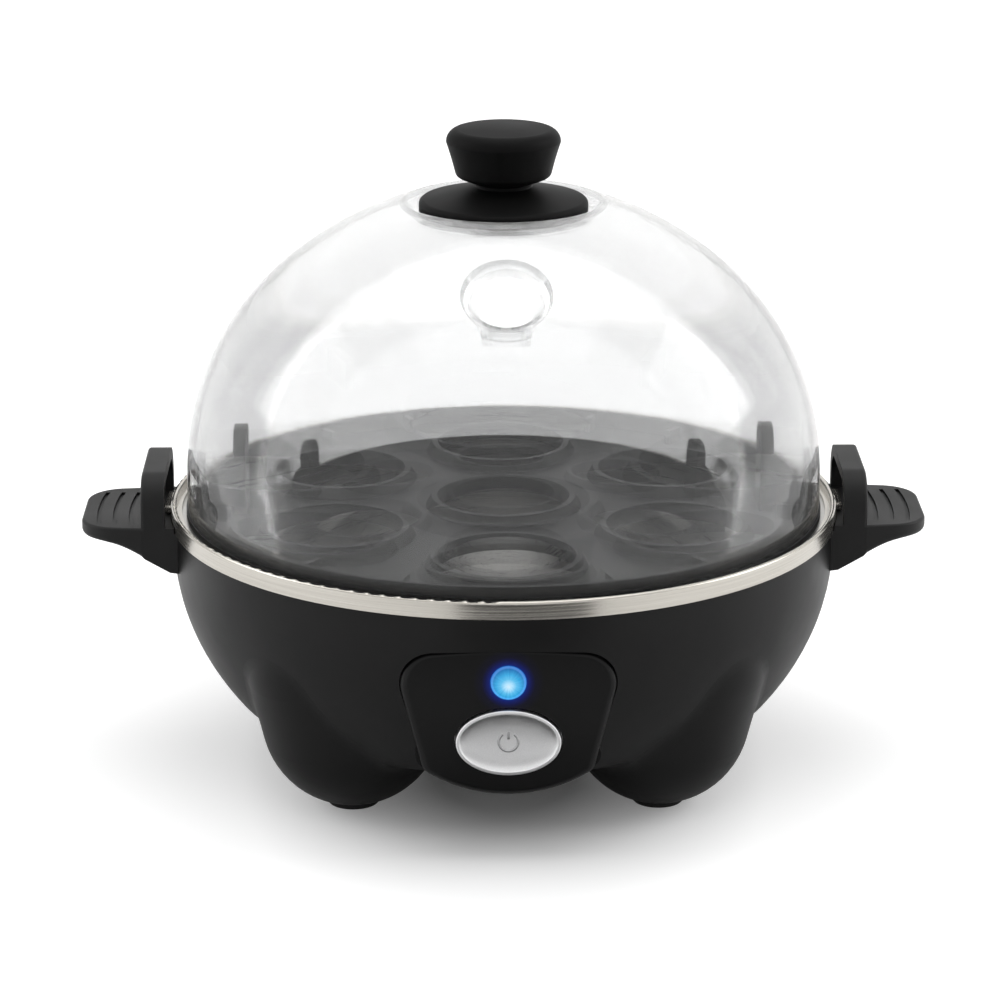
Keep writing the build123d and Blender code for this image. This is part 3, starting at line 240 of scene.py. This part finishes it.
def brushed_steel(name, dark, light, rough, across, depth):
    """Sheet steel with scratches round the axis."""
    material, tree, shader = finish(name, light, rough, Metallic=1.0)
    lines = mottle(tree, round_the_axis(tree, 2.0, across), size=1.0, detail=4.0)
    two_tone(tree, shader, lines, dark, light)
    uneven_gloss(tree, shader, lines, rough - 0.05, rough + 0.07)
    relief(tree, shader, lines, depth)
    return material

band_steel = brushed_steel("band_steel", (0.44, 0.418, 0.38), (0.52, 0.498, 0.455),
                           rough=0.22, across=2600.0, depth=0.000002)
pan_steel = brushed_steel("pan_steel", (0.45, 0.44, 0.42), (0.50, 0.49, 0.47),
                          rough=0.30, across=1400.0, depth=0.0000006)
put_on(band_steel, "rim_ring")
put_on(pan_steel, "heating_pan")

# %% [markdown]
# Screws, the fuse clip, the washer and the aluminium heating parts are plain metals that
# only show when the lid is off or the cooker is turned over.

# %% Small metal parts
def cast_metal(name, colour, rough, grain, depth):
    """Bare metal with a faint tumbled grain."""
    material, tree, shader = finish(name, colour, rough, Metallic=1.0)
    where = spot(tree)
    uneven_gloss(tree, shader, mottle(tree, where, grain * 6), rough - 0.06, rough + 0.08)
    relief(tree, shader, mottle(tree, where, grain, detail=4.0), depth)
    return material

screw_zinc = cast_metal("screw_zinc", (0.55, 0.55, 0.53),
                        rough=0.32, grain=0.0003, depth=0.000008)
cast_aluminium = cast_metal("cast_aluminium", (0.62, 0.62, 0.61),
                            rough=0.42, grain=0.0006, depth=0.00002)
put_on(screw_zinc, "board_screws", "cover_screws", "handle_screws", "knob_screw",
       "knob_washer", "fuse_clip")
put_on(cast_aluminium, "heat_spreader", "heating_element")

# %% [markdown]
# ## The button
# The button is plastic with a satin metal coat. Its face is a shallow dish, so it runs from
# dark at the top to light at the bottom by reflection alone. The coat has tiny flakes that
# keep it from looking like a mirror. The mark on it has a darker coat, so that it reads
# against the dish.

# %% Satin metal coat
def satin_silver(name, colour, rough, dark, light):
    """Metal coat with tiny flakes."""
    material, tree, shader = finish(name, colour, rough, Metallic=1.0)
    flakes = mottle(tree, spot(tree), size=0.00018, detail=3.0)
    two_tone(tree, shader, flakes, dark, light)
    return material, tree, shader, flakes

button_silver, tree, shader, flakes = satin_silver(
    "button_silver", (0.75, 0.75, 0.755), 0.30, (0.72, 0.72, 0.725), (0.79, 0.79, 0.795))
uneven_gloss(tree, shader, mottle(tree, spot(tree), size=0.004), 0.28, 0.32)
relief(tree, shader, flakes, 0.000003)
put_on(button_silver, "power_button")
mark_silver = satin_silver(
    "mark_silver", (0.40, 0.40, 0.405), 0.36, (0.37, 0.37, 0.375), (0.43, 0.43, 0.435))[0]

# %% [markdown]
# The dish carries the usual on and off mark, a broken ring with a bar in the gap, moulded
# just proud of the surface. The ring starts as a small disc that is spun round the middle of
# the dish, and the bar is a block with rounded edges. Both are then sunk into the dish.

# %% The moulded mark on the button
button_low, button_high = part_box("power_button")
button_middle = Vector((0.0, button_low.y, (button_low.z + button_high.z) / 2))
BUTTON_DISH = 0.9 * MM
MARK_RADIUS = 2.2 * MM
MARK_STROKE = 0.66 * MM
MARK_GAP = math.radians(70)
MARK_PROUD = 0.32 * MM
BAR_RISE = 1.65 * MM
BAR_LENGTH = 1.9 * MM
BAR_ROUNDING = 0.12 * MM
print("middle of the button at", tuple(round(v / MM, 2) for v in button_middle), "mm")

# %% Helpers for meshes
def keep_place(thing):
    """Put an object's place, turn and size in its mesh."""
    select_only(thing)
    bpy.ops.object.transform_apply(location=True, rotation=True, scale=True)

def settle(thing, name):
    """Name an object and put its place, turn and size in its mesh."""
    keep_place(thing)
    thing.name = name
    thing.data.name = name
    print(name, "has", len(thing.data.polygons), "faces")

def edit(thing, pick="SELECT"):
    """Open a mesh with all of it selected, or with nothing."""
    select_only(thing)
    bpy.ops.object.mode_set(mode="EDIT")
    bpy.ops.mesh.select_all(action=pick)

# %% Spin the broken ring
begin = math.radians(90) - MARK_GAP / 2
rim = Vector((MARK_RADIUS * math.cos(begin), 0.0, MARK_RADIUS * math.sin(begin)))
select_only()
bpy.ops.mesh.primitive_circle_add(vertices=12, radius=MARK_STROKE / 2, fill_type="NGON",
                                  location=button_middle + rim, rotation=(0.0, -begin, 0.0))
mark_ring = bpy.context.active_object
keep_place(mark_ring)
edit(mark_ring)
bpy.ops.mesh.spin(steps=40, angle=math.radians(360) - MARK_GAP, center=button_middle,
                  axis=(0.0, -1.0, 0.0), dupli=False)
edit(mark_ring)
bpy.ops.mesh.remove_doubles(threshold=0.002 * MM)
bpy.ops.mesh.normals_make_consistent(inside=False)
settle(mark_ring, "button_mark_ring")
print("ring spans", [round(v / MM, 2) for v in mark_ring.dimensions], "mm")

# %% The bar in the gap
def rounded(thing, width, segments):
    """Bevel the sharp edges."""
    bevel = thing.modifiers.new("rounding", "BEVEL")
    bevel.width = width
    bevel.segments = segments
    select_only(thing)
    bpy.ops.object.modifier_apply(modifier=bevel.name)

select_only()
bpy.ops.mesh.primitive_cube_add(size=1.0, location=button_middle + Vector((0.0, 0.0, BAR_RISE)),
                                scale=(MARK_STROKE, MARK_STROKE, BAR_LENGTH))
mark_bar = bpy.context.active_object
keep_place(mark_bar)
edit(mark_bar)
bpy.ops.mesh.subdivide(number_cuts=2)
rounded(mark_bar, BAR_ROUNDING, segments=2)
settle(mark_bar, "button_mark_bar")

# %% Sink the mark in the dish
for piece in (mark_ring, mark_bar):
    select_only(piece)
    bpy.ops.transform.translate(value=(0.0, BUTTON_DISH + MARK_STROKE / 2 - MARK_PROUD, 0.0))
    settle(piece, piece.name)
    select_only(piece)
    bpy.ops.object.shade_smooth_by_angle(angle=math.radians(35))
    piece.data.materials.append(mark_silver)
    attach(piece, "button")

# %% [markdown]
# ## The lamp
# The lens glows blue. Through it one sees the bright chip a little below the middle, fine
# rays from the moulded ribs inside, and a light rim where the dome of the lens bends the
# glow outwards. All of it is drawn from the distance and the angle round the lens's axis.

# %% Distance from the middle of the lens
lens_low, lens_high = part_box("indicator_lens")
lens_height = (lens_low.z + lens_high.z) / 2
LENS_RADIUS = 4.0 * MM
CHIP_DROP = 0.6 * MM
CHIP_REACH = 4.2 * MM
SPILL_REACH = 8.0 * MM
print("lens glow centred", round(lens_height / MM, 2), "mm above the table")

def lens_axes(tree):
    """Place on a part, with the lens at height zero."""
    return split_up(tree, placed(tree, spot(tree), "Location", (0.0, 0.0, -lens_height)))

def far_off(tree, axes, start, stop, drop=0.0):
    """Distance across the face from a point below the middle of the lens, as 0 to 1."""
    height = combine(tree, "ADD", axes["Z"], drop)
    reach = length_of(tree, joined(tree, axes["X"], height))
    return between(tree, reach, 0.0, 1.0, start, stop)

def shine_with(tree, shader, colour):
    """Let a finish send out light of a colour."""
    tree.links.new(colour, shader.inputs["Emission Color"])
    shader.inputs["Emission Strength"].default_value = 1.0

# %% Glow of the lens
lens_blue, tree, shader = finish("lens_blue", (0.0, 0.02, 0.08), 0.12, Specular_IOR_Level=0.25)
axes = lens_axes(tree)
glow = colour_steps(tree, far_off(tree, axes, 0.0, CHIP_REACH, drop=CHIP_DROP),
                    (0.0, (0.72, 0.92, 1.0)), (0.18, (0.50, 0.84, 1.0)),
                    (0.42, (0.14, 0.58, 0.86)), (0.65, (0.045, 0.42, 0.74)),
                    (0.88, (0.015, 0.22, 0.50)), (1.0, (0.008, 0.12, 0.36)))
rim_light = colour_steps(tree, far_off(tree, axes, 0.0, LENS_RADIUS),
                         (0.0, grey(0.0)), (0.84, grey(0.0)), (0.90, (0.05, 0.12, 0.28)),
                         (0.97, (0.06, 0.13, 0.30)), (1.0, (0.0, 0.02, 0.12)))
print("glow fades out", round(CHIP_REACH / MM, 1), "mm from the chip")

# %% Rays and the rim of light
def blend(tree, how, factor, first, second):
    """Mix two colours."""
    mix = tree.nodes.new("ShaderNodeMix")
    mix.data_type = "RGBA"
    mix.blend_type = how
    mix.inputs["Factor"].default_value = factor
    tree.links.new(first, mix.inputs["A"])
    tree.links.new(second, mix.inputs["B"])
    return mix.outputs["Result"]

angle = combine(tree, "ARCTAN2", axes["Z"], axes["X"])
rays = mottle(tree, joined(tree, angle), size=0.14, detail=3.0)
ray_tint = colour_steps(tree, rays, (0.30, (0.35, 0.50, 0.70)), (0.62, grey(1.0)))
shaded = blend(tree, "MULTIPLY", 0.55, glow, ray_tint)
shine_with(tree, shader, blend(tree, "ADD", 1.0, shaded, rim_light))
put_on(lens_blue, "indicator_lens", "indicator_lamp")

# %% [markdown]
# The panel is a finer, glossier black than the bowl. Light from the lens spills onto it, so
# its own material carries a blue glow that fades out a few millimetres from the lens.

# %% Control panel
panel_black = moulded_black("panel_black", (0.0034, 0.0034, 0.0035), (0.0042, 0.0042, 0.0043),
                            rough=0.34, grain=0.0003, depth=0.000004, shine=0.18)
tree = panel_black.node_tree
spill = colour_steps(tree, far_off(tree, lens_axes(tree), LENS_RADIUS, SPILL_REACH),
                     (0.0, (0.0, 0.018, 0.20)), (0.12, (0.0, 0.006, 0.11)),
                     (0.33, (0.0, 0.001, 0.042)), (0.50, (0.0, 0.0, 0.009)), (1.0, grey(0.0)))
shine_with(tree, tree.nodes["Principled BSDF"], spill)
put_on(panel_black, "control_panel")

# %% [markdown]
# ## The clear lid
# The lid is blown from clear plastic. Light passes straight through except where the wall
# is seen edge on, which draws the grey outline, the rim, the knob's seat and the steam
# vent. The wall is thin and very clear, so part of the light is let through unbent by Alpha,
# which keeps those lines grey instead of black. The plastic also takes up a little light on
# the way through, so the wall looks darkest along the outline, where the way is longest.

# %% Clear plastic
clear_lid, tree, shader = finish("clear_lid", (0.880, 0.884, 0.886), 0.0,
                                 Transmission_Weight=0.96, IOR=1.30, Alpha=0.62)
tint = tree.nodes.new("ShaderNodeVolumeAbsorption")
tint.inputs["Color"].default_value = (*grey(0.0), 1.0)
tint.inputs["Density"].default_value = 5.0
tree.links.new(tint.outputs["Volume"], tree.nodes["Material Output"].inputs["Volume"])
put_on(clear_lid, "lid_dome")

# %% [markdown]
# ## Rubber, silicone and the parts inside
# The pads and the cord bush are soft black rubber, the pan sits on a milky silicone ring,
# and the board with its switch, lamp holder, sounder, thermostat and fuse is hidden in the
# base. They get honest finishes too, because a part may be looked at on its own.

# %% Soft parts
def soft_part(name, colour, rough, grain, depth, shine):
    """Matte elastic surface with a powdery grain."""
    material, tree, shader = finish(name, colour, rough, Specular_IOR_Level=shine)
    where = spot(tree)
    darker = tuple(c * 0.8 for c in colour)
    two_tone(tree, shader, mottle(tree, where, grain * 8), darker, colour)
    relief(tree, shader, mottle(tree, where, grain, detail=4.0), depth)
    return material

rubber_black = soft_part("rubber_black", grey(0.016),
                         rough=0.75, grain=0.0003, depth=0.00002, shine=0.3)
silicone_milky = soft_part("silicone_milky", (0.62, 0.61, 0.58),
                           rough=0.55, grain=0.0004, depth=0.00001, shine=0.4)
put_on(rubber_black, "rubber_feet", "cord_grommet")
put_on(silicone_milky, "pan_gasket")

# %% Parts inside the base
def moulded_plain(name, colour, rough):
    """Plastic or ceramic with faint mould marks."""
    return soft_part(name, colour, rough, grain=0.0005, depth=0.000008, shine=0.5)

white_plastic = moulded_plain("white_plastic", (0.72, 0.71, 0.68), 0.45)
ceramic = moulded_plain("ceramic", (0.66, 0.60, 0.52), 0.60)
sounder_black = moulded_plain("sounder_black", grey(0.02), 0.40)
put_on(white_plastic, "push_switch", "switch_plunger", "lamp_holder")
put_on(ceramic, "thermostat", "thermal_fuse")
put_on(sounder_black, "buzzer")

# %% [markdown]
# A circuit board is green lacquer over copper tracks. Tracks are straight runs with sharp
# ends, so a Brick texture, which draws rows of straight lines, suits them better than noise.

# %% Circuit board
board_green, tree, shader = finish("board_green", (0.01, 0.12, 0.04), 0.30)
tracks = tree.nodes.new("ShaderNodeTexBrick")
for socket, value in (("Scale", 1.0), ("Brick Width", 0.008), ("Row Height", 0.0016),
                      ("Mortar Size", 0.00022), ("Color1", (0.008, 0.10, 0.03, 1.0)),
                      ("Color2", (0.010, 0.13, 0.04, 1.0)), ("Mortar", (0.03, 0.26, 0.08, 1.0))):
    tracks.inputs[socket].default_value = value
upright = placed(tree, spot(tree), "Rotation", (math.radians(90), 0.0, 0.0))
tree.links.new(upright, tracks.inputs["Vector"])
tree.links.new(tracks.outputs["Color"], shader.inputs["Base Color"])
relief(tree, shader, tracks.outputs["Fac"], 0.00003)
put_on(board_green, "control_board")

# %% [markdown]
# ## Studio
# A white sweep stands for the paper that such things are photographed on: flat under the
# cooker and curving up behind it. Its white is in its own colour and in what the camera
# sees of it, never in stronger lamps, so the shadow stays soft and the blacks stay black.

# %% Paper sweep
PAPER_WIDE = 6.0
PAPER_DEEP = 4.0
PAPER_TALL = 2.5
PAPER_CURVE = 0.8
select_only()
bpy.ops.mesh.primitive_plane_add(size=1.0, location=(0.0, 0.0, 0.0))
paper = bpy.context.active_object
paper.scale = (PAPER_WIDE, PAPER_DEEP, 1.0)
keep_place(paper)
edit(paper, pick="DESELECT")
select_only(paper)
corners = paper.data.vertices
for line in paper.data.edges:
    line.select = all(corners[v].co.y > 0 for v in line.vertices)
for corner in corners:
    corner.select = corner.co.y > 0
bpy.ops.object.mode_set(mode="EDIT")
bpy.ops.mesh.extrude_region_move(TRANSFORM_OT_translate={"value": (0.0, 0.0, PAPER_TALL)})
bpy.ops.object.mode_set(mode="OBJECT")
rounded(paper, PAPER_CURVE, segments=12)
bpy.ops.object.shade_smooth()
settle(paper, "paper_sweep")

# %% [markdown]
# The paper sends out some light of its own, but only to the camera and to reflections.
# Close to the cooker there is next to none, so the shadow stays, and farther out it rises
# until the paper is as white as the page. In reflections it starts farther away.

# %% White of the paper
def seen_directly(tree):
    """Two values, 1 for rays straight or through clear parts, and 1 for rays off gloss."""
    rays = tree.nodes.new("ShaderNodeLightPath").outputs
    straight = combine(tree, "MAXIMUM", rays["Is Camera Ray"], rays["Is Transmission Ray"])
    return straight, rays["Is Glossy Ray"]

paper_white, tree, shader = finish("paper_white", grey(0.86), 0.95, Specular_IOR_Level=0.0)
shader.inputs["Emission Color"].default_value = (*grey(1.0), 1.0)
from_cooker = length_of(tree, placed(tree, spot(tree), "Scale", (2.2, 1.0, 1.0)))
straight, gloss = seen_directly(tree)
to_the_eye = between(tree, from_cooker, low=0.03, high=0.38, start=0.045, stop=0.140)
to_gloss = between(tree, from_cooker, low=0.0, high=0.5, start=0.15, stop=0.60)
lift = combine(tree, "ADD", combine(tree, "MULTIPLY", to_the_eye, straight),
               combine(tree, "MULTIPLY", to_gloss, gloss))
tree.links.new(lift, shader.inputs["Emission Strength"])
paper.data.materials.append(paper_white)
print(paper_white.name, "on", paper.name)

# %% [markdown]
# The room round the paper is lit too. The camera and reflections see it white, while the
# light that falls from it on the cooker is dimmer, so that the blacks aren't washed out.

# %% World
world = bpy.data.worlds.new("studio")
bpy.context.scene.world = world
world.use_nodes = True
tree = world.node_tree
backdrop = tree.nodes["Background"]
backdrop.inputs["Color"].default_value = (*grey(1.0), 1.0)
bright = combine(tree, "MAXIMUM", *seen_directly(tree))
strength = between(tree, bright, low=0.55, high=1.0, start=0.0, stop=1.0)
tree.links.new(strength, backdrop.inputs["Strength"])
print("world is white to the camera and soft grey to the cooker")

# %% [markdown]
# A photographer lays a black card in front of shiny black things, just out of the picture.
# It darkens the middle of the steel band and of the bowl, while both sides keep their light.
# Only reflections see it: the camera, the shadows and the soft light pass it by. A scrap of
# card nearer by does the same for the upper half of the button's dish, which looks down.

# %% Black cards
CARD_LIFT = 0.002
card_black, tree, shader = finish("card_black", grey(0.05), 0.9, Specular_IOR_Level=0.0)

def lay_card(name, near, far, near_sides, far_sides):
    """Flat card on the floor in front of the cooker, from one distance to another."""
    select_only()
    bpy.ops.mesh.primitive_plane_add(size=1.0, location=(0.0, 0.0, CARD_LIFT))
    card = bpy.context.active_object
    keep_place(card)
    for vertex in card.data.vertices:
        y, sides = (near, near_sides) if vertex.co.y > 0 else (far, far_sides)
        vertex.co.x, vertex.co.y = sides[1] if vertex.co.x > 0 else sides[0], y
    settle(card, name)
    card.data.materials.append(card_black)
    card.visible_camera = False
    card.visible_diffuse = False
    card.visible_transmission = False
    card.visible_shadow = False

lay_card("black_card", near=-0.21, far=-0.60,
         near_sides=(-0.045, 0.092), far_sides=(-0.176, 0.342))
lay_card("button_card", near=-0.088, far=-0.138,
         near_sides=(-0.018, 0.022), far_sides=(-0.026, 0.032))

# %% [markdown]
# Three large square lamps give the light, one from above and one at each side. Large
# lamps make soft shadows, and the right one is a little stronger than the left.

# %% Lamps
AIM = Vector((0.0, 0.0, 0.07))

def soft_box(name, place, size, power):
    """Square lamp that looks at the cooker."""
    lamp = bpy.data.lights.new(name, "AREA")
    lamp.shape = "SQUARE"
    lamp.size = size
    lamp.energy = power
    box = bpy.data.objects.new(name, lamp)
    bpy.context.scene.collection.objects.link(box)
    box.location = place
    box.rotation_euler = (AIM - Vector(place)).to_track_quat("-Z", "Y").to_euler()

soft_box("top_light", (0.0, 0.1, 1.5), size=1.4, power=9.0)
soft_box("left_light", (-1.3, 0.1, 0.8), size=0.9, power=5.5)
soft_box("right_light", (1.3, 0.1, 0.8), size=0.9, power=7.5)
print("three soft lamps")

# %% [markdown]
# ## Camera
# A long lens from a little above the rim, as small appliances are usually shown. It
# stands just left of the middle, so the near parts shift a hair to the right.

# %% Camera
LOOK_AT = Vector((0.0, 0.0, 0.0619))
DISTANCE = 0.900
PITCH = math.radians(17.5)
SIDE = math.radians(0.85)
camera_data = bpy.data.cameras.new("camera")
camera = bpy.data.objects.new("camera", camera_data)
bpy.context.scene.collection.objects.link(camera)
bpy.context.scene.camera = camera
camera_data.sensor_width = 36.0
camera_data.sensor_fit = "HORIZONTAL"
camera_data.lens = 133.2
level = math.cos(PITCH)
away = Vector((-level * math.sin(SIDE), -level * math.cos(SIDE), math.sin(PITCH)))
camera.location = LOOK_AT + away * DISTANCE
camera.rotation_euler = (-away).to_track_quat("-Z", "Y").to_euler()
bpy.context.scene.view_settings.view_transform = "Standard"
print("camera at", [round(v, 3) for v in camera.location])

# %% Clear the selection
select_only()
